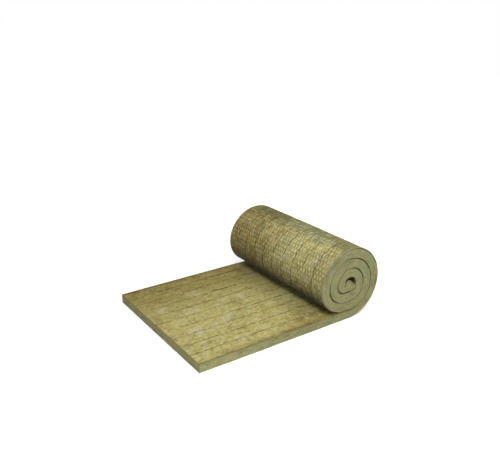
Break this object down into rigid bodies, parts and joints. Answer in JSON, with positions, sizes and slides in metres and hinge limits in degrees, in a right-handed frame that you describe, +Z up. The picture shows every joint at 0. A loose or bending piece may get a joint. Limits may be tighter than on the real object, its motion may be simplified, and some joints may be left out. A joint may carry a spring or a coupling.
{
  "type": "insulation roll",
  "caption": "Stone wool insulation mat, wound into a roll at one end and lying unrolled at the other, as stock for lining walls, roofs, ducts and vessels.",
  "frame": {"origin": "on the floor, at the centre of the bounding box's bottom face", "axes": "+X along the mat from its free end towards the roll, +Y across the mat along the roll's axis, +Z up"},
  "size_m": [1.2906, 1, 0.461],
  "materials": {
    "stone_wool": "matt, felted mineral fibre, olive-brown on its faces and grey-green on its cut edges",
    "stitching": "dull twisted thread"
  },
  "bodies": {
    "root": {"mat": "stone_wool"}
  },
  "joints": []
}
